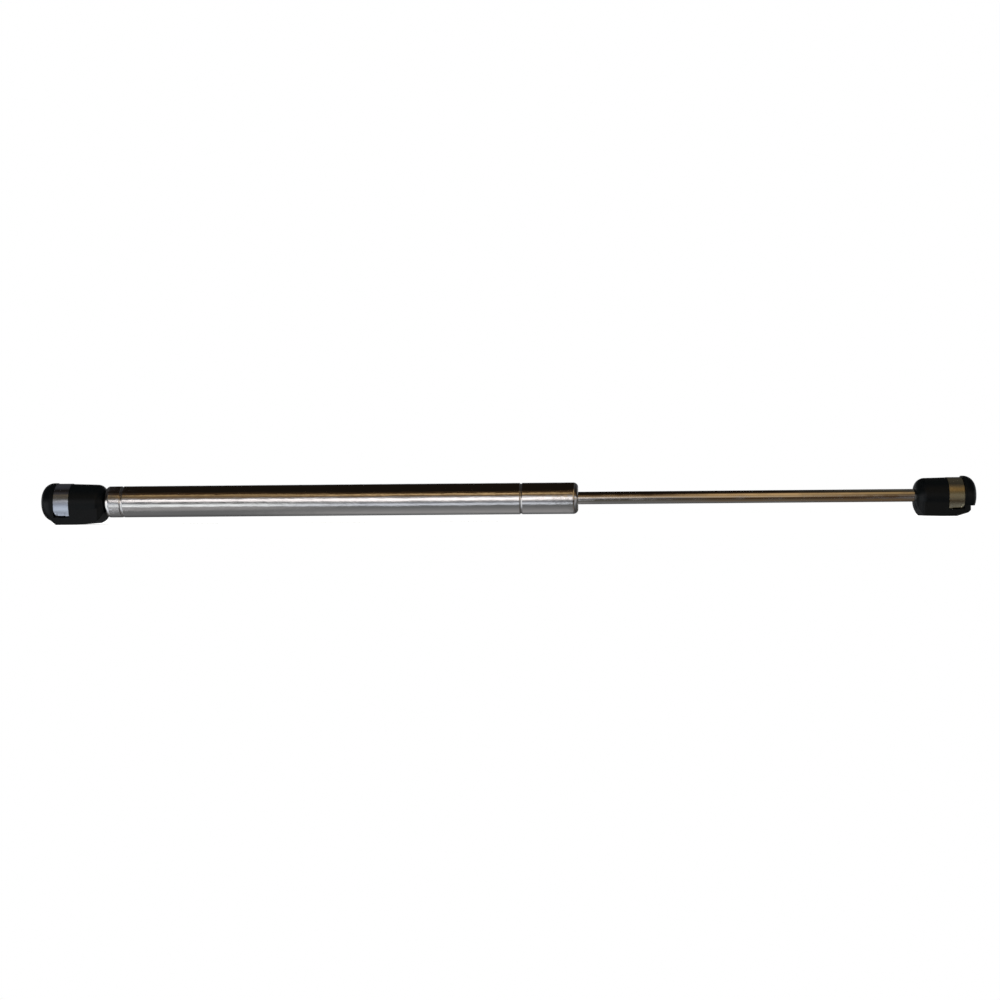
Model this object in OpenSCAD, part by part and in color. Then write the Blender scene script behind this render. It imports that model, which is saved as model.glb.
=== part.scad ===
// Gas strut stay: a stainless gas spring with a clip-on ball socket at each end.
//
// The strut lies along X and is drawn at its full length. The origin is the centre of the
// ball seat at the tube end, +X runs to the rod end, and both ball mouths open along -Z.

/* [Pressure tube] */
// Outside diameter of the pressure tube
tube_d = 15; // [14:0.5:17]
// Wall of the pressure tube
tube_wall = 1; // [0.8:0.1:1.2]
// Length of the pressure tube over its two rolled ends
tube_length = 226.5; // [212:0.5:260]
// Outside corner radius of the end that is rolled in round the plug
closed_corner = 2.2; // [1.6:0.1:2.4]
// Outside corner radius of the end that is rolled in round the rod
rolled_corner = 2.3; // [1.6:0.1:2.3]
// Diameter of the opening that the rolled end leaves
rolled_opening_d = 8.6; // [8:0.2:9.4]
// Distance from the closed end to the groove that holds the end plug
plug_groove = 8.2; // [7:0.2:9]
// Nose radius of the wheel that rolls the grooves
roll_r = 0.6; // [0.5:0.1:1]
// Depth of the rolled grooves
roll_depth = 0.35; // [0.25:0.05:0.45]

/* [Piston rod] */
// Diameter of the piston rod
rod_d = 6; // [5.6:0.2:6.4]
// Travel of the rod from full length to closed
stroke = 150; // [120:5:165]
// Rod that still shows when the strut is closed
rod_reserve = 7.7; // [6:0.1:14]
// Length of rod screwed into its socket
rod_thread_length = 10; // [8:0.5:10.5]

/* [End plug] */
// Length of the plug inside the tube
plug_length = 14.2; // [13.6:0.2:16]
// Diameter of the plug's boss in the rolled edge of the closed end
plug_boss_d = 9.6; // [8.6:0.2:9.8]
// Diameter of the stud that the tube-end socket screws on to
stud_d = 8; // [6:0.5:9]
// Length of the stud
stud_length = 12; // [9:0.5:12.5]
// Section diameter of the plug's O-ring
o_ring_section = 2; // [1.6:0.1:2.4]

/* [Rod guide pack] */
// Thickness of the steel washer behind the rolled end
end_washer_t = 1.5; // [1.4:0.1:2]
// Thickness of the wiper ring
wiper_t = 2.2; // [1.8:0.1:3]
// Length of the guide housing
guide_length = 13.8; // [11:0.2:15]
// Wall of the bearing liner in the guide housing
liner_wall = 1; // [0.6:0.1:1.4]
// Thickness of the back-up ring behind the rod seal
backup_t = 1; // [0.8:0.1:1.4]
// Length of the rod seal
seal_length = 5; // [4:0.2:6]
// Thickness of the washer that bears on the second rolled groove
support_washer_t = 1.5; // [1.2:0.1:2]

/* [Piston] */
// Length of the piston body
piston_length = 6.5; // [6:0.5:8]
// Width of the piston ring
ring_width = 3; // [2:0.5:3.5]
// Radial thickness of the piston ring
ring_t = 1.4; // [1.1:0.1:1.6]
// Diameter of the turned-down rod end that carries the piston
spigot_d = 4; // [3.4:0.2:4.6]
// Thickness of the disc that backs the piston on the rod side
support_disc_t = 1.5; // [1:0.1:2]
// Thickness of the valve disc on the gas side
valve_disc_t = 0.8; // [0.5:0.1:1.2]
// Thickness of the washer under the riveted rod end
rivet_washer_t = 1; // [0.8:0.1:1.5]
// Height of the riveted head
rivet_t = 1.2; // [0.8:0.1:1.6]

/* [Ball seats] */
// Diameter of the ball that each socket takes
ball_d = 10; // [9:0.5:10.5]
// Radial allowance of the spherical seat round the ball
seat_allowance = 0.05; // [0.02:0.01:0.1]
// Radial allowance of the straight throat below the seat
throat_allowance = 0.15; // [0.12:0.01:0.2]
// Radial allowance of the mouth
mouth_allowance = 0.35; // [0.32:0.01:0.5]
// Chamfer round the mouth
mouth_chamfer = 0.8; // [0.4:0.1:1.2]

/* [Tube-end socket] */
// Ball centre to the shoulder that meets the tube
tube_reach = 20; // [19.5:0.5:26]
// Ball centre to the domed tip
tube_tip = 10.7; // [10.4:0.1:12]
// Half width of the tip, on the far side of the clip
tube_lip_r = 9.25; // [9.1:0.05:9.6]
// Half width of the body beside the clip
tube_back_r = 9; // [8.8:0.05:9.4]
// Half width at the shoulder
tube_neck_r = 8.35; // [8.3:0.05:8.8]
// Ball centre to the mouth face
tube_depth = 10.8; // [10.4:0.1:12]
// Depth below the axis at the shoulder
tube_neck_depth = 9.8; // [9.4:0.1:10.2]
// Corner radius of the tip
tube_tip_corner = 5.5; // [4.6:0.1:6]
// Corner radius of the shoulder
tube_neck_corner = 4.2; // [2:0.1:4.2]
// Radius of the rounded heel under the shoulder
tube_heel_r = 7.2; // [6:0.2:7.4]
// Depth of the heel's centre below the axis
tube_heel_drop = 3.3; // [3.2:0.1:4]
// Length of the slope from the tip up to the mouth face
tube_chin_run = 2.8; // [1.5:0.1:5]
// Height of that slope
tube_chin_rise = 2.4; // [1:0.1:2.8]
// Ball centre to the bottom of the clip's bends
tube_arm = 7.25; // [7:0.05:7.6]
// Width of the clip
tube_clip_w = 7.25; // [7:0.25:9]
// Corner radius of the clip's arms, on the side of the tip
tube_clip_corner = 3.2; // [1.5:0.1:3.4]

/* [Rod-end socket] */
// Ball centre to the shoulder that the rod enters
rod_reach = 18.3; // [17.5:0.1:24]
// Ball centre to the domed tip
rod_tip = 9.8; // [9.6:0.1:11.4]
// Half width of the tip, on the far side of the clip
rod_lip_r = 9.05; // [8.8:0.05:9.3]
// Half width of the body beside the clip
rod_back_r = 8.45; // [8.3:0.05:8.8]
// Half width at the shoulder
rod_neck_r = 8.1; // [7.8:0.05:8.3]
// Ball centre to the mouth face
rod_depth = 9.8; // [9.5:0.1:11]
// Depth below the axis at the shoulder
rod_neck_depth = 9.5; // [9.1:0.1:9.5]
// Corner radius of the tip
rod_tip_corner = 5.5; // [4.6:0.1:5.8]
// Corner radius of the shoulder
rod_neck_corner = 4.8; // [2.5:0.1:4.8]
// Radius of the rounded heel under the shoulder
rod_heel_r = 12; // [10:0.2:13]
// Depth of the heel's centre below the axis
rod_heel_drop = 1.2; // [0.8:0.1:2]
// Length of the slope from the tip up to the mouth face
rod_chin_run = 5.2; // [2:0.1:6]
// Height of that slope
rod_chin_rise = 1.7; // [1:0.1:2]
// Ball centre to the bottom of the clip's bends
rod_arm = 6.6; // [6.4:0.05:6.9]
// Width of the clip
rod_clip_w = 7; // [6:0.25:7.5]
// Corner radius of the clip's arms, on the side of the tip
rod_clip_corner = 2.4; // [1.5:0.1:3]
// Depth below the axis at which the tip is set back, for prising the socket off its ball
rod_step_depth = 5; // [4.8:0.1:5.6]
// How far it is set back
rod_step_in = 3.3; // [1.5:0.1:3.4]
// Height of the upright face that this leaves
rod_step_h = 2; // [1.5:0.1:2.4]

/* [Socket bodies] */
// How much narrower the flat-sided underside is than the round body, at each side
skirt_inset = 0.8; // [0.4:0.1:1.2]
// Bevel along the lower edges of the underside
skirt_bevel = 0.8; // [0.4:0.1:1.2]

/* [Retaining clips] */
// Thickness of the spring strip
clip_t = 0.8; // [0.6:0.05:0.9]
// Radius that the arms curve inwards on, below the axis
arm_curve_r = 15; // [14:0.5:24]
// Width of the tongue that hooks in under the ball
tongue_w = 3.6; // [3:0.2:4.2]
// Length of the slits that free the tongue, up from its bend
slit_reach = 2.2; // [2:0.1:2.6]
// Inside radius of the tongue's bend
bend_r = 0.8; // [0.6:0.1:1]
// Gap between the tongue's end and the ball
tongue_gap = 0.2; // [0.1:0.05:0.4]
// How far a clip is lifted to let the ball out
clip_lift = 3; // [2:0.25:3.5]

/* [Clearances] */
// Radial running clearance of the rod and of the piston ring
running = 0.03; // [0.02:0.005:0.05]
// Radial clearance of pieces that are seated or screwed together
seating = 0.02; // [0.01:0.005:0.04]
// Gap left between faces that are stacked against each other
face_gap = 0.02; // [0.01:0.005:0.04]
// Gap beside and under a retaining clip
clip_gap = 0.1; // [0.08:0.01:0.2]
// Radial gap between a clip and the floor of its slot
clip_floor_gap = 0.05; // [0.04:0.01:0.1]

/* [Hidden] */
$fn = 72;

big = 60;                                   // longer than any cut across the strut
tube_r = tube_d / 2;
bore_r = tube_r - tube_wall;
rod_r = rod_d / 2;
ball_r = ball_d / 2;
mouth_r = ball_r + mouth_allowance;
window_gap = 0.2;                           // round a tongue, in its window
thread_relief = 0.5;                        // left open beyond a stud or rod end

// Places along X
tube_start = tube_reach;
tube_end = tube_start + tube_length;
rod_shoulder = tube_end + rod_reserve + stroke;
rod_ball = rod_shoulder + rod_reach;

// Rolled grooves: the wheel's centre stands off the tube, and the bead inside follows the groove
roll_centre_r = tube_r + roll_r - roll_depth;
bead_r = roll_r + tube_wall;

// The guide pack is stacked inwards from the rolled end; each value is a piece's inner face
washer_outer = tube_end - tube_wall - face_gap;
washer_inner = washer_outer - end_washer_t;
wiper_inner = washer_inner - face_gap - wiper_t;
guide_inner = wiper_inner - face_gap - guide_length;
backup_inner = guide_inner - face_gap - backup_t;
seal_inner = backup_inner - face_gap - seal_length;
support_inner = seal_inner - face_gap - support_washer_t;
pack_r = bore_r - seating;
rod_relief = 0.2;                           // round the rod in pieces that don't bear on it

// The support washer leans on the flank of the second bead
bead_flank = sqrt(pow(bead_r, 2) - pow(roll_centre_r - pack_r, 2));
bead_foot = sqrt(pow(bead_r, 2) - pow(roll_centre_r - bore_r, 2));
guide_groove = support_inner - face_gap - bead_flank;
grooves = [tube_start + plug_groove, guide_groove];

// The piston pack is stacked on the rod's spigot, from the bead towards the closed end
stop_gap = 0.3;
piston_front = guide_groove - bead_foot - stop_gap;
disc_back = piston_front - support_disc_t;
piston_back = disc_back - face_gap - piston_length;
valve_back = piston_back - face_gap - valve_disc_t;
rivet_washer_back = valve_back - face_gap - rivet_washer_t;
rivet_back = rivet_washer_back - rivet_t;
spigot_r = spigot_d / 2;
spigot_hole_r = spigot_r + seating;
piston_r = bore_r - 0.2;                    // the ring alone bears on the tube
ring_r = bore_r - running;
ring_hole_r = ring_r - ring_t;
ring_mid = disc_back - face_gap - piston_length / 2;

// Retaining clips: the strip lies just under the surface of the body beside it
slit_gap = 0.1;
shoulder_cut = 0.4;
neck_side_corner = 0.4;
clip_sink = 0.05;
tube_clip_r = tube_back_r - clip_sink - clip_t;
rod_clip_r = rod_back_r - clip_sink - clip_t;
bend_mid = bend_r + clip_t / 2;

module along_x(x = 0) { translate([x, 0, 0]) rotate([90, 0, 90]) children(); }

// Quarter of a disc, filling the +x +y corner from the origin
module quarter(r) {
    intersection() {
        circle(r);
        square(2 * r);
    }
}

module ring(outer, inner, length) {
    difference() {
        cylinder(r = outer, h = length);
        translate([0, 0, -1]) cylinder(r = inner, h = length + 2);
    }
}

// ---- Pressure tube: profiles are (radius, distance from the closed end) ----

module tube_blank_profile(r, closed, rolled, length) {
    square([r - closed, closed]);
    translate([r - closed, closed]) mirror([0, 1]) quarter(closed);
    translate([0, closed]) square([r, length - closed - rolled]);
    translate([0, length - rolled]) square([r - rolled, rolled]);
    translate([r - rolled, length - rolled]) quarter(rolled);
}

module tube_profile() {
    difference() {
        union() {
            difference() {
                tube_blank_profile(tube_r, closed_corner, rolled_corner, tube_length);
                translate([0, tube_wall]) tube_blank_profile(
                    bore_r, closed_corner - tube_wall, rolled_corner - tube_wall,
                    tube_length - 2 * tube_wall
                );
            }
            intersection() {
                translate([roll_depth, 1]) square([tube_r - 0.1 - roll_depth, tube_length - 2]);
                for (x = grooves) translate([roll_centre_r, x - tube_start]) circle(bead_r);
            }
        }
        for (x = grooves) translate([roll_centre_r, x - tube_start]) circle(roll_r);
        translate([0, -1]) square([plug_boss_d / 2 + seating, tube_wall + 2]);
        translate([0, tube_length - tube_wall - 1]) square([rolled_opening_d / 2, tube_wall + 2]);
    }
}

module pressure_tube() {
    color([0.75, 0.74, 0.72]) along_x(tube_start) rotate_extrude() tube_profile();
}

// ---- End plug with its stud and O-ring ----

o_ring_r = o_ring_section / 2;
o_ring_centre_r = pack_r - o_ring_r;
o_ring_groove_r = o_ring_centre_r - o_ring_r - seating;
o_ring_land = 1;                            // plug left between its groove and the O-ring
o_ring_x = plug_groove + bead_foot + o_ring_land + o_ring_r;

module end_plug() {
    body_start = tube_wall + face_gap;
    corner = closed_corner - tube_wall;
    color([0.68, 0.69, 0.7]) along_x(tube_start) rotate_extrude() difference() {
        union() {
            translate([0, -stud_length]) square([stud_d / 2, stud_length]);
            square([plug_boss_d / 2, body_start]);
            translate([0, body_start]) {
                square([pack_r - corner, corner]);
                translate([pack_r - corner, corner]) mirror([0, 1]) quarter(corner);
            }
            translate([0, body_start + corner]) square([pack_r, plug_length - body_start - corner]);
        }
        translate([roll_centre_r, plug_groove]) circle(bead_r + seating);
        translate([o_ring_groove_r, o_ring_x - o_ring_r - face_gap])
            square([big, 2 * (o_ring_r + face_gap)]);
    }
}

module end_plug_o_ring() {
    color([0.05, 0.05, 0.05]) along_x(tube_start + o_ring_x)
        rotate_extrude() translate([o_ring_centre_r, 0]) circle(o_ring_r);
}

// ---- Rod guide pack, from the gas side outwards ----

module seal_support_washer() {
    color([0.7, 0.7, 0.72]) along_x(support_inner) ring(pack_r, rod_r + rod_relief, support_washer_t);
}

// A U-cup: its two lips point at the gas, which presses them on to the rod and the tube
module rod_lip_seal() {
    inner = rod_r + seating;
    heel = rod_r + rod_relief;
    mid = (inner + pack_r) / 2;
    lip = 0.6;
    lip_slant = 0.3;
    color([0.08, 0.08, 0.08]) along_x(seal_inner) rotate_extrude() polygon([
        [inner, lip], [inner + lip, 0], [mid - lip, lip_slant], [mid, 0.5 * seal_length],
        [mid + lip, lip_slant], [pack_r - lip, 0], [pack_r, lip], [pack_r, seal_length],
        [heel, seal_length], [heel, 0.45 * seal_length]
    ]);
}

module seal_backup_ring() {
    color([0.9, 0.89, 0.85]) along_x(backup_inner) ring(pack_r, rod_r + rod_relief / 2, backup_t);
}

liner_r = rod_r + running + liner_wall;
guide_rim = 1;

module rod_guide_housing() {
    waist = 0.4;
    color([0.55, 0.56, 0.58]) along_x(guide_inner) rotate_extrude() difference() {
        square([pack_r, guide_length]);
        translate([pack_r - waist, 0.3 * guide_length]) square([big, 0.4 * guide_length]);
        translate([-1, -1]) square([liner_r + seating + 1, guide_length - guide_rim + 1]);
        translate([-1, -1]) square([rod_r + rod_relief + 1, guide_length + 2]);
    }
}

module rod_guide_liner() {
    color([0.62, 0.45, 0.28]) along_x(guide_inner)
        ring(liner_r, rod_r + running, guide_length - guide_rim - face_gap);
}

// The wiper's scraping lip reaches out through the end washer's hole
module wiper_ring() {
    inner = rod_r + seating;
    lip_root = 0.75;
    lip_tip = 0.25;
    lip_end = wiper_t + 0.8 * end_washer_t;
    color([0.07, 0.07, 0.07]) along_x(wiper_inner) rotate_extrude() polygon([
        [rod_r + rod_relief, 0], [pack_r, 0], [pack_r, wiper_t], [inner + lip_root, wiper_t],
        [inner + lip_tip, lip_end], [inner, lip_end - lip_tip], [rod_r + rod_relief, 0.5 * wiper_t]
    ]);
}

module end_washer() {
    corner = rolled_corner - tube_wall;
    hole = rod_r + 0.9;                     // leaves room for the wiper's lip
    color([0.7, 0.7, 0.72]) along_x(washer_inner) rotate_extrude() polygon([
        [hole, 0], [pack_r, 0], [pack_r, end_washer_t - corner],
        [pack_r - corner, end_washer_t], [hole, end_washer_t]
    ]);
}

// ---- Piston rod and piston ----

module piston_rod() {
    rod_end = rod_shoulder + rod_thread_length;
    tip_chamfer = 0.6;
    rivet_r = spigot_r + 0.8;
    rivet_rim = 0.35;
    color([0.72, 0.72, 0.73]) along_x() rotate_extrude() polygon([
        [0, rivet_back], [0.6 * spigot_r, rivet_back], [rivet_r, rivet_washer_back - rivet_rim],
        [rivet_r, rivet_washer_back], [spigot_r, rivet_washer_back], [spigot_r, piston_front],
        [rod_r, piston_front], [rod_r, rod_end - tip_chamfer], [rod_r - tip_chamfer, rod_end],
        [0, rod_end]
    ]);
}

module piston_body() {
    ring_float = 0.1;
    rim_step = 0.5;
    color([0.8, 0.78, 0.7]) along_x(piston_back) rotate_extrude() difference() {
        translate([spigot_hole_r, 0]) square([piston_r - spigot_hole_r, piston_length]);
        translate([ring_hole_r - ring_float, (piston_length - ring_width) / 2 - running])
            square([big, ring_width + 2 * running]);
        translate([piston_r - rim_step, -1]) square([big, 1 + rim_step]);
    }
}

module piston_ring() {
    color([0.15, 0.14, 0.13]) along_x(ring_mid - ring_width / 2) ring(ring_r, ring_hole_r, ring_width);
}

module piston_support_disc() {
    rim_gap = 0.4;
    color([0.7, 0.7, 0.72]) along_x(disc_back)
        ring(piston_r - rim_gap, spigot_hole_r, support_disc_t - face_gap);
}

// Three shallow flow slots are cut in the rim
module piston_valve_disc() {
    disc_r = piston_r - 1;
    slot_w = 1.2;
    slot_in = 0.8;
    color([0.65, 0.66, 0.68]) along_x(valve_back) difference() {
        ring(disc_r, spigot_hole_r, valve_disc_t);
        for (a = [0:120:240]) rotate(a)
            translate([disc_r - slot_in, -slot_w / 2, -1]) cube([big, slot_w, big]);
    }
}

module rivet_washer() {
    rim = 2;
    color([0.7, 0.7, 0.72]) along_x(rivet_washer_back)
        ring(spigot_r + rim, spigot_hole_r, rivet_washer_t);
}

// ---- Ball sockets: each is drawn with its ball centre at the origin and its shoulder on +X ----

// Half of a body's outline, as (half width, distance along the strut)
module socket_half(reach, tip, lip_r, back_r, neck_r, tip_corner, neck_corner, lip_end) {
    translate([0, -tip]) square([lip_r - tip_corner, tip_corner]);
    translate([lip_r - tip_corner, tip_corner - tip]) mirror([0, 1]) quarter(tip_corner);
    translate([0, tip_corner - tip]) square([lip_r, tip - tip_corner - lip_end]);
    polygon([
        [0, -lip_end], [back_r, -lip_end], [neck_r, reach - neck_corner], [0, reach - neck_corner]
    ]);
    translate([0, reach - neck_corner]) square([neck_r - neck_corner, neck_corner]);
    translate([neck_r - neck_corner, reach - neck_corner]) quarter(neck_corner);
}

// Side view of the underside, from its slope at the tip to the rounded heel
module skirt_side(reach, front, depth, neck_depth, chin_run, chin_rise, heel_r, heel_drop) {
    heel_x = reach - heel_r;
    flat_end = mouth_r + mouth_chamfer + 0.5;
    intersection() {
        polygon([
            [-front, 1], [-front, chin_rise - depth], [chin_run - front, -depth],
            [flat_end, -depth], [reach, -neck_depth], [reach + 1, -neck_depth],
            [reach + 1, 1]
        ]);
        union() {
            translate([-big, -big]) square([big + heel_x, 2 * big]);
            translate([heel_x, -heel_drop]) {
                circle(heel_r);
                square([heel_r, big]);
            }
        }
    }
}

// Straight-sided arch: round on top, flat flanks down to the given depth
module arch(r, down) {
    intersection() {
        circle(r);
        translate([-2 * r, 0]) square([4 * r, 2 * r]);
    }
    translate([-r, -down]) square([2 * r, down]);
}

// Where the arms' curve is centred, and where each tongue bends
function curve_y(clip_r) = clip_r + clip_t / 2 - arm_curve_r;
function arm_swing(arm) = asin((arm - bend_r - clip_t) / (arm_curve_r - bend_mid));
function bend_centre(clip_r, arm) = [
    curve_y(clip_r) + (arm_curve_r - bend_mid) * cos(arm_swing(arm)),
    -(arm_curve_r - bend_mid) * sin(arm_swing(arm))
];
// The tongue points at the ball's centre
function tongue_angle(bend) = atan2(bend[1], bend[0]) - asin(bend_mid / norm(bend));

// Cross-section of the body in the slot: round on top, and clear of the arms as they lift
module slot_floor(clip_r, arm) {
    foot = arm - shoulder_cut;
    swept_r = arm_curve_r - clip_t / 2 - clip_gap;
    flank = curve_y(clip_r) + sqrt(pow(swept_r, 2) - pow(foot, 2));
    intersection() {
        arch(clip_r - clip_floor_gap, foot);
        translate([curve_y(clip_r), clip_lift]) circle(swept_r);
        translate([-curve_y(clip_r), clip_lift]) circle(swept_r);
    }
    translate([-flank, -big]) square([2 * flank, big]);
}

// The slot that a clip lies in, with the two windows for its tongues
module clip_slot(clip_w, clip_r, arm) {
    slot_w = clip_w + 2 * clip_gap;
    ledge = arm + clip_gap;
    angle = tongue_angle(bend_centre(clip_r, arm));
    tongue_top = (ball_r + tongue_gap) * sin(angle) + clip_t / 2 * cos(angle);
    window_w = tongue_w + 2 * window_gap;
    difference() {
        translate([-slot_w / 2, -big / 2, -ledge]) cube([slot_w, big, big]);
        along_x(-slot_w) linear_extrude(2 * slot_w) slot_floor(clip_r, arm);
    }
    translate([-window_w / 2, -big / 2, -ledge])
        cube([window_w, big, ledge + tongue_top + clip_lift + window_gap]);
}

module ball_seat(depth, arm) {
    ledge = arm + clip_gap;
    sphere(ball_r + seat_allowance);
    translate([0, 0, -ledge]) cylinder(r = ball_r + throat_allowance, h = ledge);
    translate([0, 0, -depth - 1]) cylinder(r = mouth_r, h = depth + 1 - ledge);
    translate([0, 0, -depth]) cylinder(r1 = mouth_r + mouth_chamfer, r2 = mouth_r, h = mouth_chamfer);
    translate([0, 0, -depth - 1]) cylinder(r = mouth_r + mouth_chamfer, h = 1);
}

// A round body domed at the tip, with a flat-sided underside that carries the mouth
module socket(reach, tip, front, lip_r, back_r, neck_r, depth, neck_depth, tip_corner, neck_corner,
              chin_run, chin_rise, heel_r, heel_drop, clip_w, clip_r, arm, hole_r, hole_depth) {
    lip_end = clip_w / 2 + clip_gap;
    skirt_r = back_r - skirt_inset;
    difference() {
        union() {
            along_x() rotate_extrude()
                socket_half(reach, tip, lip_r, back_r, neck_r, tip_corner, neck_corner, lip_end);
            intersection() {
                translate([0, 0, -depth - 1]) linear_extrude(depth + 1) rotate(-90)
                    for (side = [0, 1]) mirror([side, 0]) socket_half(
                        reach, tip - skirt_inset, skirt_r, skirt_r, neck_r - skirt_inset,
                        tip_corner - skirt_inset, neck_corner - skirt_inset, lip_end
                    );
                rotate([90, 0, 0]) linear_extrude(big, center = true)
                    skirt_side(
                        reach, front, depth, neck_depth, chin_run, chin_rise, heel_r, heel_drop
                    );
            }
        }
        for (side = [-1, 1]) translate([0, side * skirt_r, -depth]) rotate([45, 0, 0])
            cube([big, sqrt(2) * skirt_bevel, sqrt(2) * skirt_bevel], center = true);
        clip_slot(clip_w, clip_r, arm);
        ball_seat(depth, arm);
        along_x(reach - hole_depth) cylinder(r = hole_r, h = hole_depth + 1);
    }
}

module tube_end_socket() {
    color([0.1, 0.1, 0.105]) socket(
        reach = tube_reach - face_gap, tip = tube_tip, front = mouth_r + 0.05,
        lip_r = tube_lip_r, back_r = tube_back_r, neck_r = tube_neck_r,
        depth = tube_depth, neck_depth = tube_neck_depth,
        tip_corner = tube_tip_corner, neck_corner = tube_neck_corner,
        chin_run = tube_chin_run, chin_rise = tube_chin_rise, heel_r = tube_heel_r,
        heel_drop = tube_heel_drop, clip_w = tube_clip_w, clip_r = tube_clip_r, arm = tube_arm,
        hole_r = stud_d / 2 + seating, hole_depth = stud_length + thread_relief
    );
}

// Side view of what is cut from under the tip, back to an upright face and a slope to the mouth
module rod_step_cut() {
    face_x = rod_step_in - rod_tip;
    polygon([
        [-rod_tip - 1, -rod_step_depth], [face_x, -rod_step_depth],
        [face_x, -rod_step_depth - rod_step_h], [-mouth_r, rod_chin_rise - rod_depth],
        [rod_chin_run - mouth_r, -rod_depth], [-rod_tip - 1, -rod_depth]
    ]);
}

module rod_end_socket() {
    color([0.1, 0.1, 0.105]) translate([rod_ball, 0, 0]) mirror([1, 0, 0]) difference() {
        socket(
            reach = rod_reach, tip = rod_tip, front = rod_tip - rod_step_in + 0.5,
            lip_r = rod_lip_r, back_r = rod_back_r, neck_r = rod_neck_r,
            depth = rod_depth, neck_depth = rod_neck_depth,
            tip_corner = rod_tip_corner, neck_corner = rod_neck_corner,
            chin_run = rod_chin_run, chin_rise = rod_chin_rise, heel_r = rod_heel_r,
            heel_drop = rod_heel_drop, clip_w = rod_clip_w, clip_r = rod_clip_r, arm = rod_arm,
            hole_r = rod_r + seating, hole_depth = rod_thread_length + thread_relief
        );
        rotate([90, 0, 0]) linear_extrude(big, center = true) rod_step_cut();
    }
}

// ---- Retaining clips: a strip bent over the socket, with a tongue hooked in at each side ----

// Points along an arc, from the given step on
function arc(centre, r, from, to, steps, first = 0) =
    [for (i = [first:steps]) let (a = from + (to - from) * i / steps) centre + r * [cos(a), sin(a)]];

// Free part of an arm, its bend and the tongue, across the strut on the +Y side
module tongue_profile(clip_r, arm) {
    bend = bend_centre(clip_r, arm);
    centre = [curve_y(clip_r), 0];
    swing = arm_swing(arm);
    slit_z = arm - slit_reach;
    outer = arm_curve_r + clip_t / 2;
    inner = arm_curve_r - clip_t / 2;
    angle = tongue_angle(bend);
    tip = (ball_r + tongue_gap) * [cos(angle), sin(angle)];
    across = clip_t / 2 * [sin(angle), -cos(angle)];
    polygon(concat(
        arc(centre, outer, -asin(slit_z / outer), -swing, 3),
        arc(bend, bend_r + clip_t, -swing, angle - 90, 9, 1),
        [tip + across, tip - across],
        arc(bend, bend_r, angle - 90, -swing, 6),
        arc(centre, inner, -swing, -asin(slit_z / inner), 3, 1)
    ));
}

// One arm seen from the side, as (along the strut, up), open below where the tongue is
module arm_plate(clip_w, arm, corner) {
    foot = shoulder_cut - arm;
    difference() {
        union() {
            translate([-clip_w / 2, foot + corner]) square([clip_w - neck_side_corner, -foot - corner]);
            translate([corner - clip_w / 2, foot])
                square([clip_w - corner - neck_side_corner, corner]);
            translate([corner - clip_w / 2, foot + corner]) rotate(180) quarter(corner);
            translate([clip_w / 2 - neck_side_corner, foot + neck_side_corner]) {
                mirror([0, 1]) quarter(neck_side_corner);
                square([neck_side_corner, -foot - neck_side_corner]);
            }
        }
        translate([-tongue_w / 2 - slit_gap, foot - 1])
            square([tongue_w + 2 * slit_gap, 1 + slit_reach - shoulder_cut]);
    }
}

module clip(clip_w, clip_r, arm, corner) {
    outer_r = clip_r + clip_t;
    along_x(-clip_w / 2) linear_extrude(clip_w) difference() {
        intersection() {
            circle(outer_r);
            translate([-2 * outer_r, 0]) square([4 * outer_r, 2 * outer_r]);
        }
        circle(clip_r);
    }
    for (side = [0, 1]) mirror([0, side, 0]) {
        intersection() {
            along_x(-clip_w) linear_extrude(2 * clip_w) intersection() {
                translate([curve_y(clip_r), 0]) difference() {
                    circle(arm_curve_r + clip_t / 2);
                    circle(arm_curve_r - clip_t / 2);
                }
                translate([0, -big]) square([big, big]);
            }
            translate([0, big, 0]) rotate([90, 0, 0]) linear_extrude(big) arm_plate(clip_w, arm, corner);
        }
        along_x(-tongue_w / 2) linear_extrude(tongue_w) tongue_profile(clip_r, arm);
    }
}

module tube_end_clip() {
    color([0.78, 0.79, 0.82]) clip(tube_clip_w, tube_clip_r, tube_arm, tube_clip_corner);
}

module rod_end_clip() {
    color([0.66, 0.62, 0.5]) translate([rod_ball, 0, 0]) mirror([1, 0, 0])
        clip(rod_clip_w, rod_clip_r, rod_arm, rod_clip_corner);
}

pressure_tube();
end_plug();
end_plug_o_ring();
seal_support_washer();
rod_lip_seal();
seal_backup_ring();
rod_guide_housing();
rod_guide_liner();
wiper_ring();
end_washer();
tube_end_socket();
tube_end_clip();
piston_ring();
piston_rod();
piston_body();
piston_support_disc();
piston_valve_disc();
rivet_washer();
rod_end_socket();
rod_end_clip();
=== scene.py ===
import math

import bmesh
import bpy
from mathutils import Matrix, Vector


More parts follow.
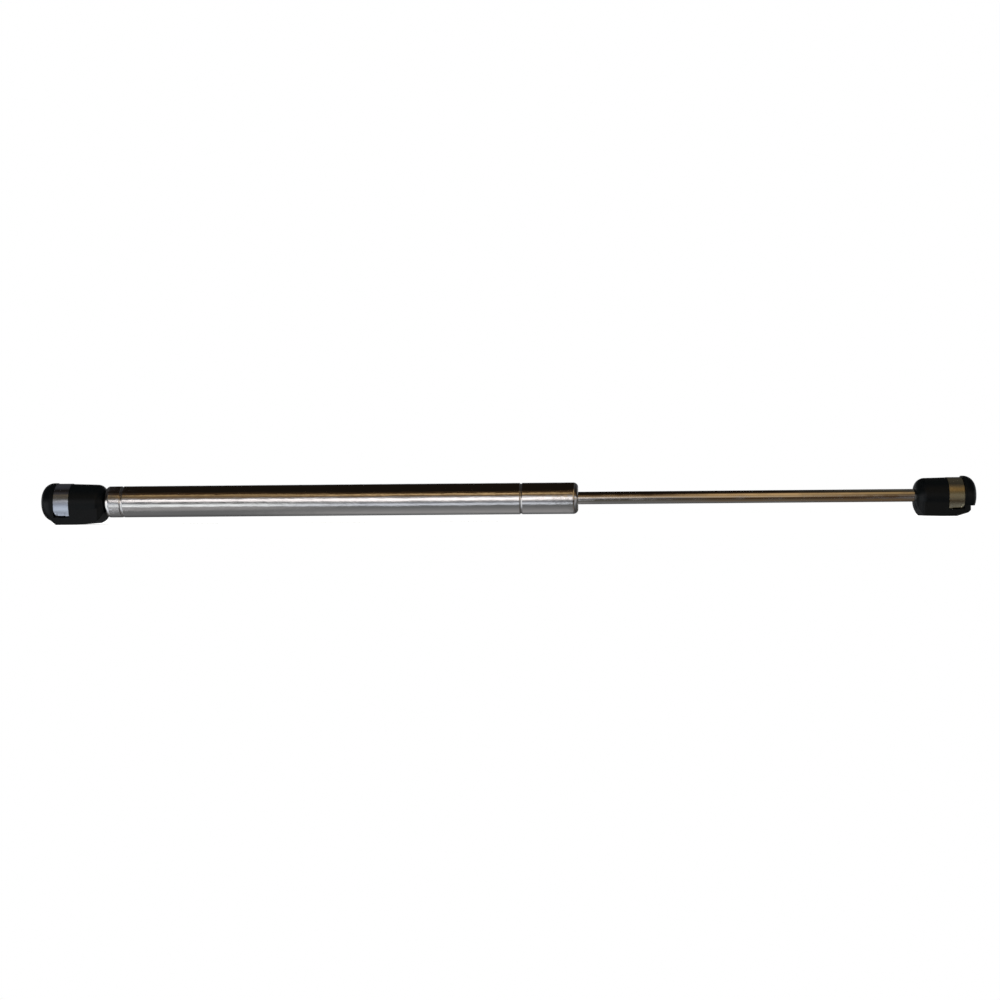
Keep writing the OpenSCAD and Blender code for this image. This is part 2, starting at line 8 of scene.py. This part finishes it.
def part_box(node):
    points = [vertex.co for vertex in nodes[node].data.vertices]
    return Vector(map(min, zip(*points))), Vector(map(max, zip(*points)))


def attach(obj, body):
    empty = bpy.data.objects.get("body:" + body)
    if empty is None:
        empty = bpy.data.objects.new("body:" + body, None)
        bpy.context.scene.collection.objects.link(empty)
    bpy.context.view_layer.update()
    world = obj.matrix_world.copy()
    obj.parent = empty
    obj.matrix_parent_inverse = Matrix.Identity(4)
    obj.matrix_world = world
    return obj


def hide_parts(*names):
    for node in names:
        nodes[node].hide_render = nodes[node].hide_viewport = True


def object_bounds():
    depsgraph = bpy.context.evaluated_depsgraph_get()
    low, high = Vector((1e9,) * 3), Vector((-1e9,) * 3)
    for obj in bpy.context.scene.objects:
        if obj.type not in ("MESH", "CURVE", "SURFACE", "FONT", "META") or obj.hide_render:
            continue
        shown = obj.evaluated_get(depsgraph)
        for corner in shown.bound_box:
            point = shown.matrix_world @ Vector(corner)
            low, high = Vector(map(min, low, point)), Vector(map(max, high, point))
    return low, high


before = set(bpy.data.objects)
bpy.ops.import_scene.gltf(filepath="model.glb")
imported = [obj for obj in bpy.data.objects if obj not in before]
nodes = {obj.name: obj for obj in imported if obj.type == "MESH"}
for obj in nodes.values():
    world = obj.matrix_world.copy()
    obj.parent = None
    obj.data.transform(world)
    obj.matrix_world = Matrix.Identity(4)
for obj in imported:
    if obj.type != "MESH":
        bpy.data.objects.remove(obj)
cad_low, cad_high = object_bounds()


# ---- Camera ----
# Level with the strut and in front of it, turned a little towards the rod end, and tipped half a
# degree so that the rod end sits higher.
MM = 0.001
CAMERA_DISTANCE = 760 * MM
CAMERA_TURN = math.radians(2.6)
CAMERA_TIP = math.radians(-0.471)
AIM_OFF_MIDDLE = 1.5 * MM
AIM_BELOW_AXIS = 0.62 * MM

scene = bpy.context.scene
scene.view_settings.view_transform = "Standard"
aim = Vector(((cad_low.x + cad_high.x) / 2 - AIM_OFF_MIDDLE, 0, -AIM_BELOW_AXIS))
back = Vector((math.sin(CAMERA_TURN), -math.cos(CAMERA_TURN), 0))

camera = bpy.data.objects.new("camera", bpy.data.cameras.new("camera"))
scene.collection.objects.link(camera)
scene.camera = camera
camera.data.sensor_width = 36
camera.data.lens = 57.47
camera.data.clip_start = 10 * MM
camera.data.clip_end = 20
camera.location = aim + CAMERA_DISTANCE * back
camera.rotation_mode = "QUATERNION"
camera.rotation_quaternion = (
    (-back).to_track_quat("-Z", "Y") @ Matrix.Rotation(CAMERA_TIP, 3, "Z").to_quaternion()
)


# ---- Pressure tube ----
# Drawn stainless tube, polished lengthwise. Both ends are rolled in, the far one round the rod,
# and two grooves are rolled into it: one holds the end plug, the other the guide pack.
TUBE_R = 7.5 * MM
TUBE_WALL = 1 * MM
CLOSED_CORNER = 2.2 * MM
ROLLED_CORNER = 2.3 * MM
PLUG_HOLE_R = 4.82 * MM
ROD_OPENING_R = 4.3 * MM
PLUG_GROOVE = 8.2 * MM  # from the closed end
GUIDE_GROOVE = 27.11 * MM  # from the end that the rod leaves
ROLL_R = 0.6 * MM
ROLL_DEPTH = 0.35 * MM
GROOVE_SHOULDER = 0.2 * MM
SHADING_RING = 0.4 * MM
AROUND = 160  # facets round a polished piece, too many to see in its outline
SHARP = math.radians(40)  # an edge that turns by more than this is shaded sharp
WELD = 0.001 * MM
tube_low, tube_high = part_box("pressure_tube")
tube_grooves = (tube_low.x + PLUG_GROOVE, tube_high.x - GUIDE_GROOVE)


def linear(hex_colour):
    """An sRGB hex colour as linear RGBA."""
    parts = [int(hex_colour[i:i + 2], 16) / 255 for i in (1, 3, 5)]
    return [c / 12.92 if c <= 0.04045 else ((c + 0.055) / 1.055) ** 2.4 for c in parts] + [1]


def add(tree, kind, inputs=None, **settings):
    """Adds a node, sets its properties, and sets or links its inputs."""
    node = tree.nodes.new("ShaderNode" + kind)
    for name, value in settings.items():
        setattr(node, name, value)
    for name, value in (inputs or {}).items():
        if isinstance(value, bpy.types.NodeSocket):
            tree.links.new(value, node.inputs[name])
        else:
            node.inputs[name].default_value = value
    return node


def new_material(name):
    """A material with its shader, and the piece's own coordinates in metres."""
    material = bpy.data.materials.new(name)
    material.use_nodes = True
    tree = material.node_tree
    return material, tree, tree.nodes["Principled BSDF"], add(tree, "TexCoord").outputs["Object"]


def line_to(bm, vert, x, r):
    """Draws a turned piece's outline straight on to that place and radius."""
    made = bmesh.ops.extrude_vert_indiv(bm, verts=[vert])["verts"][0]
    made.co = (x, 0, r)
    return made


def run_to(bm, vert, x, r):
    """Draws a long straight run, with a ring just inside each end that keeps its shading even."""
    start = vert.co.copy()
    run = Vector((x, 0, r)) - start
    near = SHADING_RING / run.length
    for share in (near, 1 - near, 1):
        vert = line_to(bm, vert, start.x + share * run.x, start.z + share * run.z)
    return vert


def arc_to(bm, vert, x, r, degrees, steps):
    """Draws the outline on along an arc about that centre; positive turns +Z towards +X."""
    made = bmesh.ops.spin(
        bm, geom=[vert], cent=(x, 0, r), axis=(0, 1, 0), angle=math.radians(degrees),
        steps=steps, use_duplicate=False,
    )
    return [v for v in made["geom_last"] if isinstance(v, bmesh.types.BMVert)][0]


def turned_piece(bm, name, body, node, material):
    """Spins the outline round the strut's axis into a smooth piece that replaces its node."""
    bmesh.ops.spin(
        bm, geom=bm.verts[:] + bm.edges[:], cent=(0, 0, 0), axis=(1, 0, 0),
        angle=2 * math.pi, steps=AROUND, use_merge=True,
    )
    return finish_piece(bm, name, body, node, material)


def finish_piece(bm, name, body, node, material):
    """Closes the mesh, shades it smooth up to its sharp edges, and puts it on its body."""
    bmesh.ops.remove_doubles(bm, verts=bm.verts, dist=WELD)
    bmesh.ops.recalc_face_normals(bm, faces=bm.faces)
    for face in bm.faces:
        face.smooth = True
    for edge in bm.edges:
        edge.smooth = len(edge.link_faces) == 2 and edge.calc_face_angle(0) < SHARP
    mesh = bpy.data.meshes.new(name)
    bm.to_mesh(mesh)
    bm.free()
    mesh.materials.append(material)
    piece = bpy.data.objects.new(name, mesh)
    scene.collection.objects.link(piece)
    weighted = piece.modifiers.new("weighted_normals", "WEIGHTED_NORMAL")
    weighted.keep_sharp = True
    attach(piece, body)
    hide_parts(node)
    return piece


def polished_stainless(name, colour, roughness, line_depth, swell_depth):
    """Polished stainless steel: near-mirror, with faint lines along it from drawing or grinding.

    The lines are a tenth of a millimetre apart on the real steel. They are drawn 1 mm apart,
    5 mm long and deeper here, so that they show. Swells 8 mm wide and 25 mm long, also drawn
    deeper, make the reflections waver. Handling has dulled patches 2 mm wide and 7 mm long.
    """
    material, tree, shader, place = new_material(name)
    along = add(tree, "Mapping", {"Vector": place, "Scale": (0.2, 1, 1)}).outputs[0]
    lines = add(tree, "TexNoise", {"Vector": along, "Scale": 1 / MM, "Detail": 3}).outputs[0]
    drawn = add(tree, "Bump", {"Height": lines, "Distance": line_depth}).outputs[0]
    slow = add(tree, "Mapping", {"Vector": place, "Scale": (0.3, 1, 1)}).outputs[0]
    swell = add(tree, "TexNoise", {"Vector": slow, "Scale": 0.13 / MM, "Detail": 2}).outputs[0]
    uneven = add(tree, "Bump", {
        "Height": swell, "Distance": swell_depth, "Normal": drawn,
    }).outputs[0]
    smear = add(tree, "TexNoise", {"Vector": slow, "Scale": 0.45 / MM, "Detail": 5}).outputs[0]
    rough = add(tree, "MapRange", {
        "Value": smear, "From Min": 0.35, "From Max": 0.65,
        "To Min": 0.4 * roughness, "To Max": 2 * roughness,
    }).outputs[0]
    shader.inputs["Base Color"].default_value = linear(colour)
    shader.inputs["Metallic"].default_value = 1
    tree.links.new(rough, shader.inputs["Roughness"])
    tree.links.new(uneven, shader.inputs["Normal"])
    return material


tube_steel = polished_stainless("drawn_stainless_tube", "#D9D5D1", 0.05, 0.05 * MM, 0.06 * MM)

tube = bmesh.new()
at = tube.verts.new((tube_low.x, 0, PLUG_HOLE_R))
first = at
at = line_to(tube, at, tube_low.x, TUBE_R - CLOSED_CORNER)
at = arc_to(tube, at, tube_low.x + CLOSED_CORNER, TUBE_R - CLOSED_CORNER, 90, steps=8)

roll_centre = TUBE_R + ROLL_R - ROLL_DEPTH
roll_half = math.acos((roll_centre - TUBE_R) / ROLL_R)
shoulders = []
for groove_x in tube_grooves:
    at = run_to(tube, at, groove_x - ROLL_R * math.sin(roll_half), TUBE_R)
    shoulders.append(at)
    at = arc_to(tube, at, groove_x, roll_centre, -2 * math.degrees(roll_half), steps=12)
    shoulders.append(at)
at = run_to(tube, at, tube_high.x - ROLLED_CORNER, TUBE_R)
at = arc_to(tube, at, tube_high.x - ROLLED_CORNER, TUBE_R - ROLLED_CORNER, 90, steps=16)
at = line_to(tube, at, tube_high.x, ROD_OPENING_R)
at = line_to(tube, at, tube_high.x - TUBE_WALL, ROD_OPENING_R)
at = line_to(tube, at, tube_high.x - TUBE_WALL, TUBE_R - ROLLED_CORNER)
at = arc_to(tube, at, tube_high.x - ROLLED_CORNER, TUBE_R - ROLLED_CORNER, -90, steps=8)

bead_r = ROLL_R + TUBE_WALL
bead_half = math.acos((roll_centre - TUBE_R + TUBE_WALL) / bead_r)
for groove_x in reversed(tube_grooves):
    at = line_to(tube, at, groove_x + bead_r * math.sin(bead_half), TUBE_R - TUBE_WALL)
    at = arc_to(tube, at, groove_x, roll_centre, 2 * math.degrees(bead_half), steps=10)
at = line_to(tube, at, tube_low.x + CLOSED_CORNER, TUBE_R - TUBE_WALL)
at = arc_to(tube, at, tube_low.x + CLOSED_CORNER, TUBE_R - CLOSED_CORNER, -90, steps=8)
at = line_to(tube, at, tube_low.x + TUBE_WALL, PLUG_HOLE_R)
tube.edges.new((at, first))
bmesh.ops.bevel(
    tube, geom=shoulders, offset=GROOVE_SHOULDER, segments=4, profile=0.5,
    affect="VERTICES", material=-1,
)
turned_piece(tube, "tube", "cylinder", "pressure_tube", tube_steel)


def turned_steel(name, colour, roughness):
    """Turned steel: fine rings 0.15 mm apart left round the piece by the tool."""
    material, tree, shader, place = new_material(name)
    across = add(tree, "Mapping", {"Vector": place, "Scale": (1, 0.02, 0.02)}).outputs[0]
    rings = add(tree, "TexNoise", {"Vector": across, "Scale": 6.5 / MM, "Detail": 1}).outputs[0]
    cut = add(tree, "Bump", {"Height": rings, "Distance": 0.002 * MM}).outputs[0]
    shader.inputs["Base Color"].default_value = linear(colour)
    shader.inputs["Metallic"].default_value = 1
    shader.inputs["Roughness"].default_value = roughness
    tree.links.new(cut, shader.inputs["Normal"])
    return material


steel = turned_steel("turned_steel", "#B4B2AE", 0.3)
for name in ("end_plug", "seal_support_washer", "end_washer", "piston_support_disc",
             "piston_valve_disc", "rivet_washer"):
    nodes[name].data.materials[0] = steel


# ---- Seals ----
# Black nitrile rubber, moulded, with a skin that is faintly mottled. Only the wiper's lip shows,
# where the rod leaves the tube.
SHEEN_SPREAD = 0.08


def fine_grained(name, colour, roughness, grain, depth):
    """A dull surface whose sheen and height vary over a grain of that size."""
    material, tree, shader, place = new_material(name)
    speck = add(tree, "TexNoise", {"Vector": place, "Scale": 1 / grain, "Detail": 3}).outputs[0]
    rough = add(tree, "MapRange", {
        "Value": speck, "From Min": 0.3, "From Max": 0.7,
        "To Min": roughness - SHEEN_SPREAD, "To Max": roughness + SHEEN_SPREAD,
    }).outputs[0]
    skin = add(tree, "Bump", {"Height": speck, "Distance": depth}).outputs[0]
    shader.inputs["Base Color"].default_value = linear(colour)
    tree.links.new(rough, shader.inputs["Roughness"])
    tree.links.new(skin, shader.inputs["Normal"])
    return material, shader


nitrile, _ = fine_grained("nitrile_rubber", "#161616", 0.6, 0.4 * MM, 0.01 * MM)
for name in ("end_plug_o_ring", "rod_lip_seal", "wiper_ring"):
    nodes[name].data.materials[0] = nitrile


# ---- Back-up ring and piston ring ----
# The back-up ring behind the rod seal is white PTFE. The piston ring is PTFE too, dark from the
# graphite that fills it, and floats in the piston's groove.
ptfe, _ = fine_grained("ptfe", "#E6E4DC", 0.5, 0.5 * MM, 0.004 * MM)
ring_compound, _ = fine_grained("graphite_filled_ptfe", "#2A2826", 0.45, 0.3 * MM, 0.006 * MM)
nodes["seal_backup_ring"].data.materials[0] = ptfe
nodes["piston_ring"].data.materials[0] = ring_compound


# ---- Guide housing and piston body ----
# Die-cast zinc: pale grey, with a faint grain from the die. The housing sits between the second
# groove and the rolled end, and the piston is riveted on the rod.
zinc, zinc_shader = fine_grained("die_cast_zinc", "#A9A9A6", 0.42, 0.6 * MM, 0.006 * MM)
zinc_shader.inputs["Metallic"].default_value = 1
for name in ("rod_guide_housing", "piston_body"):
    nodes[name].data.materials[0] = zinc


# ---- Guide liner ----
# Sintered bronze bearing, brown and slightly porous, soaked with oil. It is pressed into the
# guide housing.
bronze, bronze_shader = fine_grained("sintered_bronze", "#8F6A42", 0.38, 0.25 * MM, 0.01 * MM)
bronze_shader.inputs["Metallic"].default_value = 1
nodes["rod_guide_liner"].data.materials[0] = bronze


# ---- Piston rod ----
# Stainless rod, centreless ground and polished. Its inner end is turned down for the piston and
# riveted over, its outer end is screwed into the socket.
ROD_R = 3 * MM
ROD_CHAMFER = 0.6 * MM
SPIGOT_R = 2 * MM
PISTON_FRONT = 218.09 * MM  # where the rod steps down to the spigot
RIVET_R = 2.8 * MM
RIVET_TIP_R = 0.6 * SPIGOT_R
RIVET_RIM = 0.35 * MM
ROUNDING = 0.3 * MM
rod_low, rod_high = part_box("piston_rod")
washer_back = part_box("rivet_washer")[0].x
rod_steel = polished_stainless("ground_stainless_rod", "#CFC9C2", 0.08, 0.004 * MM, 0.02 * MM)

rod = bmesh.new()
at = rod.verts.new((rod_low.x, 0, 0))
rivet = [line_to(rod, at, rod_low.x, RIVET_TIP_R)]
rivet.append(line_to(rod, rivet[0], washer_back - RIVET_RIM, RIVET_R))
at = line_to(rod, rivet[1], washer_back, RIVET_R)
at = line_to(rod, at, washer_back, SPIGOT_R)
at = line_to(rod, at, PISTON_FRONT, SPIGOT_R)
shoulder = at = line_to(rod, at, PISTON_FRONT, ROD_R)
at = run_to(rod, at, rod_high.x - ROD_CHAMFER, ROD_R)
at = line_to(rod, at, rod_high.x, ROD_R - ROD_CHAMFER)
at = line_to(rod, at, rod_high.x, 0)
bmesh.ops.bevel(
    rod, geom=rivet + [shoulder], offset=ROUNDING, segments=4, profile=0.5,
    affect="VERTICES", material=-1,
)
turned_piece(rod, "rod", "rod", "piston_rod", rod_steel)


# ---- Ball sockets ----
# Black glass-filled nylon, injection moulded, so every edge is slightly rounded. The larger one
# is screwed on the tube's stud, the smaller one on the rod.
SOCKET_EDGE = 0.25 * MM
FLAT = math.radians(0.5)  # facets that turn by less than this are one face


def softened(node, width, sharp):
    """A copy of a node's shape with its flat faces joined and its sharp edges rounded over."""
    bm = bmesh.new()
    bm.from_mesh(nodes[node].data)
    bmesh.ops.remove_doubles(bm, verts=bm.verts, dist=WELD)
    bmesh.ops.dissolve_limit(bm, angle_limit=FLAT, verts=bm.verts, edges=bm.edges)
    edges = [e for e in bm.edges
             if len(e.link_faces) == 2 and e.calc_face_angle(0) > math.radians(sharp)]
    bmesh.ops.bevel(
        bm, geom=edges, offset=width, segments=3, profile=0.5,
        affect="EDGES", clamp_overlap=True, material=-1,
    )
    return bm


nylon, nylon_shader = fine_grained(
    "black_glass_filled_nylon", "#060809", 0.34, 0.35 * MM, 0.004 * MM,
)
nylon_shader.inputs["Specular IOR Level"].default_value = 0.15
for name, body, node in (
    ("tube_socket", "cylinder", "tube_end_socket"), ("rod_socket", "rod", "rod_end_socket"),
):
    finish_piece(softened(node, SOCKET_EDGE, sharp=25), name, body, node, nylon)


# ---- Retaining clips ----
# Spring steel strip, stamped and bent over the socket, then zinc plated and passivated, one blue
# and one yellow. The tongues are lanced from the arms and bent in under the ball.
CLIP_EDGE = 0.2 * MM


def spring_steel(name, colour, roughness):
    """Plated spring strip: marks from rolling run along it, and ripples 4 mm long show in it.

    The marks are finer on the real strip. They are drawn 0.6 mm apart, so that they show.
    """
    material, tree, shader, place = new_material(name)
    round_strip = add(tree, "Mapping", {"Vector": place, "Scale": (1, 0.08, 0.08)}).outputs[0]
    marks = add(tree, "TexNoise", {
        "Vector": round_strip, "Scale": 1.6 / MM, "Detail": 2,
    }).outputs[0]
    rolled = add(tree, "Bump", {"Height": marks, "Distance": 0.002 * MM}).outputs[0]
    ripple = add(tree, "TexNoise", {"Vector": place, "Scale": 0.26 / MM, "Detail": 1}).outputs[0]
    sprung = add(tree, "Bump", {"Height": ripple, "Distance": 0.01 * MM, "Normal": rolled})
    shader.inputs["Base Color"].default_value = linear(colour)
    shader.inputs["Metallic"].default_value = 1
    shader.inputs["Roughness"].default_value = roughness
    tree.links.new(sprung.outputs[0], shader.inputs["Normal"])
    return material


blue_strip = spring_steel("blue_passivated_strip", "#C4C8D0", 0.15)
yellow_strip = spring_steel("yellow_passivated_strip", "#C8BE9E", 0.15)
for name, body, node, slot, strip in (
    ("tube_clip", "tube_clip", "tube_end_clip", "tube_clip_steel", blue_strip),
    ("rod_clip", "rod_clip", "rod_end_clip", "rod_clip_steel", yellow_strip),
):
    finish_piece(softened(node, CLIP_EDGE, sharp=30), name, body, node, strip)


# ---- Floor ----
# Pale painted board under the strut. It fades to plain white away from the strut, and is left
# out of the reflections, which show the room instead.
FLOOR_SIDE = 6
FLOOR_GAP = 0.02 * MM
FLOOR_GLOW = 0.42
PATCH_HALF_LENGTH = 0.5  # the patch of floor that isn't plain white
PATCH_HALF_DEPTH = 0.3
white = linear("#FFFFFF")

floor_mesh = bmesh.new()
bmesh.ops.create_grid(
    floor_mesh, x_segments=1, y_segments=1, size=FLOOR_SIDE / 2,
    matrix=Matrix.Translation((aim.x, 0, cad_low.z - FLOOR_GAP)),
)
mesh = bpy.data.meshes.new("floor")
floor_mesh.to_mesh(mesh)
floor_mesh.free()
floor = bpy.data.objects.new("floor", mesh)
scene.collection.objects.link(floor)
floor.visible_glossy = False

board, tree, shader, place = new_material("pale_painted_board")
shader.inputs["Base Color"].default_value = linear("#F0F0EE")
shader.inputs["Roughness"].default_value = 0.9
shader.inputs["Specular IOR Level"].default_value = 0
seen = add(tree, "LightPath").outputs
glow = add(tree, "Emission", {"Color": white, "Strength": FLOOR_GLOW})
plain = add(tree, "Emission", {"Color": white, "Strength": 1})
lit = add(tree, "AddShader", {0: shader.outputs[0], 1: glow.outputs[0]})
centred = add(tree, "Mapping", {
    "Vector": place, "Location": (-aim.x / PATCH_HALF_LENGTH, 0, 0),
    "Scale": (1 / PATCH_HALF_LENGTH, 1 / PATCH_HALF_DEPTH, 1),
}).outputs[0]
away = add(tree, "VectorMath", {0: centred}, operation="LENGTH").outputs["Value"]
fade = add(tree, "MapRange", {
    "Value": away, "From Min": 0.6, "From Max": 1.0,
}, interpolation_type="SMOOTHSTEP").outputs[0]
seen_fade = add(tree, "Math", {0: fade, 1: seen["Is Camera Ray"]}, operation="MULTIPLY")
first_hit = add(tree, "MixShader", {0: seen["Is Camera Ray"], 1: shader.outputs[0],
                                    2: lit.outputs[0]})
out = add(tree, "MixShader", {0: seen_fade.outputs[0], 1: first_hit.outputs[0],
                              2: plain.outputs[0]})
tree.links.new(out.outputs[0], tree.nodes["Material Output"].inputs["Surface"])
mesh.materials.append(board)


# ---- Lamps ----
# Two large soft boxes, one above the front and one beside the rod end, at a plain level. They
# don't show in the steel, which mirrors the room.
def soft_box(name, place, width, height, power):
    """A rectangular lamp that faces the strut; its power is in watts."""
    lamp = bpy.data.lights.new(name, "AREA")
    lamp.shape = "RECTANGLE"
    lamp.size, lamp.size_y = width, height
    lamp.energy = power
    box = bpy.data.objects.new(name, lamp)
    box.location = place
    box.rotation_mode = "QUATERNION"
    box.rotation_quaternion = (aim - Vector(place)).to_track_quat("-Z", "Y")
    box.visible_glossy = False
    scene.collection.objects.link(box)


soft_box("soft_box_above", (aim.x - 0.3, -0.7, 1.1), width=1.4, height=1.0, power=11)
soft_box("soft_box_side", (aim.x + 0.9, -0.9, 0.5), width=0.8, height=0.8, power=4)


# ---- Room ----
# White behind the strut. What the steel mirrors is a room with a dark ceiling, a strip of warm
# wood, a window at eye level and a grey bench, in nine parts from one end of the strut to the
# other. Each part is a ramp of colours by the angle round the strut; 0 is the front.
world = bpy.data.worlds.new("room")
scene.world = world
world.use_nodes = True
world.cycles.sampling_method = "NONE"
tree = world.node_tree
tree.nodes.clear()
ROOM_LEVEL = 1.6
EVEN_LEVEL = 0.55
CEILING = "#14100C"
DARK_WALL = "#343436"
DARK_WOOD = "#3C2C1C"
SHADED_WOOD = "#5C4C38"
DULL_WOOD = "#907A56"
WOOD = "#B49870"
DAYLIGHT = "#B09C80"
HAZE = "#828284"
WINDOW = "#FFFCFF"
BENCH = "#B8BEC8"
BENCH_TOP = "#E0E6EA"
BENCH_SHADE = "#6C7078"
FLOOR = "#5C5E60"
FLOOR_SHADE = "#48463E"
SHELF = "#B4B8BC"
FLOOR_BEHIND = [(-180, FLOOR), (-160, DARK_WALL)]
SHELF_BEHIND = [(155, CEILING), (165, SHELF), (170, SHELF), (180, FLOOR)]
ROOM_SIDE = [
    (-180, SHELF), (-160, FLOOR_SHADE), (-130, DARK_WALL), (-100, FLOOR), (-80, BENCH),
    (-55, BENCH_TOP), (-25, BENCH_TOP), (0, WINDOW), (10, HAZE), (20, DARK_WALL), (40, CEILING),
    (150, DARK_WALL), (165, HAZE), (180, SHELF),
]
ROOM_END = [
    (-180, DARK_WALL), (-130, DARK_WALL), (-100, HAZE), (-70, BENCH), (-50, BENCH),
    (-35, BENCH_SHADE), (-25, BENCH), (-15, BENCH), (-5, BENCH_SHADE), (10, FLOOR_SHADE),
    (25, FLOOR_SHADE), (55, DARK_WALL), (75, CEILING), (100, DARK_WALL), (180, DARK_WALL),
]
ROOM_LEFT = FLOOR_BEHIND + [
    (-110, FLOOR), (-80, FLOOR), (-60, HAZE), (-45, HAZE), (-35, BENCH_TOP), (-30, BENCH_TOP),
    (-15, FLOOR), (-10, FLOOR), (5, WINDOW), (10, WINDOW), (15, HAZE), (25, SHADED_WOOD),
    (35, SHADED_WOOD), (45, DULL_WOOD), (50, DARK_WOOD), (70, CEILING),
] + SHELF_BEHIND
ROOM_MIDDLE = FLOOR_BEHIND + [
    (-140, FLOOR), (-110, HAZE), (-60, FLOOR), (-50, FLOOR), (-40, BENCH), (-35, BENCH),
    (-25, BENCH_SHADE), (-15, HAZE), (-5, WINDOW), (5, WINDOW), (15, HAZE), (25, SHADED_WOOD),
    (30, SHADED_WOOD), (35, WOOD), (40, DULL_WOOD), (45, DARK_WOOD), (60, CEILING),
] + SHELF_BEHIND
ROOM_DOOR = FLOOR_BEHIND + [
    (-110, FLOOR), (-85, FLOOR), (-45, FLOOR_SHADE), (-20, DARK_WALL), (-5, HAZE), (10, DAYLIGHT),
    (30, SHADED_WOOD), (50, DARK_WOOD), (70, CEILING),
] + SHELF_BEHIND
ROOM_RIGHT = FLOOR_BEHIND + [
    (-110, FLOOR), (-75, SHADED_WOOD), (-55, FLOOR_SHADE), (-40, DARK_WOOD),
    (-20, DARK_WOOD), (0, DAYLIGHT), (20, DULL_WOOD), (35, WOOD), (50, WOOD), (65, DARK_WOOD),
    (85, CEILING),
] + SHELF_BEHIND
ROOM_CORNER = [
    (-180, DARK_WALL), (-75, SHADED_WOOD), (-40, DARK_WOOD), (-20, DARK_WOOD), (0, SHADED_WOOD),
    (20, SHADED_WOOD), (35, DULL_WOOD), (55, DULL_WOOD), (75, CEILING), (105, FLOOR_SHADE),
    (180, DARK_WALL),
]
ROOM_FAR = [
    (-180, DARK_WALL), (-90, DARK_WALL), (-55, FLOOR), (-45, BENCH_SHADE), (-35, BENCH_SHADE),
    (-25, DARK_WALL), (-20, DARK_WALL), (-10, FLOOR), (0, FLOOR), (15, FLOOR_SHADE),
    (30, SHADED_WOOD), (40, SHADED_WOOD), (55, DARK_WALL), (180, DARK_WALL),
]
ROOM_BEYOND = [
    (-180, SHELF), (-160, FLOOR_SHADE), (-120, DARK_WALL), (-60, FLOOR), (-35, HAZE),
    (-10, HAZE), (0, DAYLIGHT), (10, BENCH), (20, SHADED_WOOD), (45, DARK_WOOD), (60, CEILING),
    (150, DARK_WALL), (165, HAZE), (180, SHELF),
]
direction = add(tree, "TexCoord").outputs["Generated"]
axes = add(tree, "SeparateXYZ", {0: direction}).outputs
front = add(tree, "Math", {0: axes["Y"], 1: -1}, operation="MULTIPLY").outputs[0]
angle = add(tree, "Math", {0: axes["Z"], 1: front}, operation="ARCTAN2").outputs[0]
turn = add(tree, "MapRange", {
    "Value": angle, "From Min": -math.pi, "From Max": math.pi,
}).outputs[0]


def room_part(stops):
    """A ramp of colours round the strut: from behind it, under, up the front, over and back."""
    ramp = add(tree, "ValToRGB", {0: turn})
    elements = ramp.color_ramp.elements
    for degrees, colour in stops[1:-1]:
        elements.new(degrees / 360 + 0.5).color = linear(colour)
    elements[0].color = linear(stops[0][1])
    elements[-1].color = linear(stops[-1][1])
    return ramp.outputs[0]


def joined(first, second, start, end):
    """Passes from one part of the room to the next over that stretch of directions along X."""
    share = add(tree, "MapRange", {
        "Value": axes["X"], "From Min": start, "From Max": end,
    }, interpolation_type="SMOOTHSTEP").outputs[0]
    both = add(tree, "Mix", data_type="RGBA")  # its colours are inputs 6 and 7, output 2
    tree.links.new(share, both.inputs["Factor"])
    tree.links.new(first, both.inputs[6])
    tree.links.new(second, both.inputs[7])
    return both.outputs[2]


# Each part takes over between two values of X in the mirrored direction.
colour = room_part(ROOM_SIDE)
for stops, start, end in (
    (ROOM_END, -0.5, -0.4), (ROOM_LEFT, -0.29, -0.284), (ROOM_MIDDLE, -0.23, -0.12),
    (ROOM_DOOR, 0.002, 0.006), (ROOM_RIGHT, 0.05, 0.1), (ROOM_CORNER, 0.13, 0.19),
    (ROOM_FAR, 0.207, 0.213), (ROOM_BEYOND, 0.35, 0.5),
):
    colour = joined(colour, room_part(stops), start, end)
room = add(tree, "Background", {"Color": colour, "Strength": ROOM_LEVEL})
even = add(tree, "Background", {"Color": white, "Strength": EVEN_LEVEL})
backdrop = add(tree, "Background", {"Color": white, "Strength": 1})
seen = add(tree, "LightPath").outputs
mirrored = add(tree, "MixShader", {
    0: seen["Is Glossy Ray"], 1: even.outputs[0], 2: room.outputs[0],
})
shown = add(tree, "Math", {0: seen["Is Camera Ray"], 1: seen["Is Transmission Ray"]},
            operation="MAXIMUM")
sky = add(tree, "MixShader", {
    0: shown.outputs[0], 1: mirrored.outputs[0], 2: backdrop.outputs[0],
})
tree.links.new(sky.outputs[0], add(tree, "OutputWorld").inputs["Surface"])
